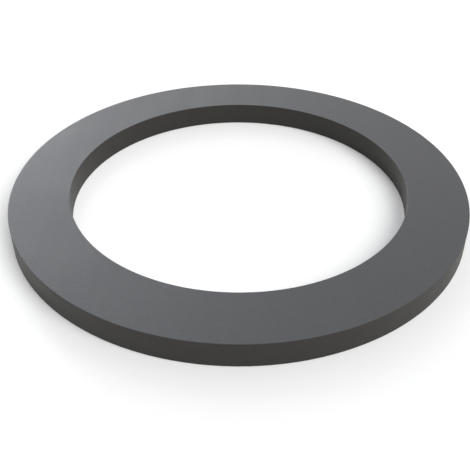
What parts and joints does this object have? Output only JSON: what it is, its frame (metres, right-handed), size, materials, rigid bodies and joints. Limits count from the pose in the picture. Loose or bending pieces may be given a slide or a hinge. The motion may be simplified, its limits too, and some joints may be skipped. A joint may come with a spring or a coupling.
{
  "type": "pipe union seal",
  "caption": "Flat ring seal of black rubber, clamped between two pipe ends by a union nut so that the joint holds water.",
  "frame": {"origin": "middle of the ring on its lower sealing face, which is the plane it rests on", "axes": "+Z along the ring's axis, which is the pipe's axis, from the lower sealing face to the upper one; X and Y are any two directions across it"},
  "size_m": [0.0564, 0.0564, 0.003],
  "materials": {
    "black_rubber": "satin"
  },
  "bodies": {
    "root": {"seal_ring": "black_rubber"}
  },
  "joints": []
}
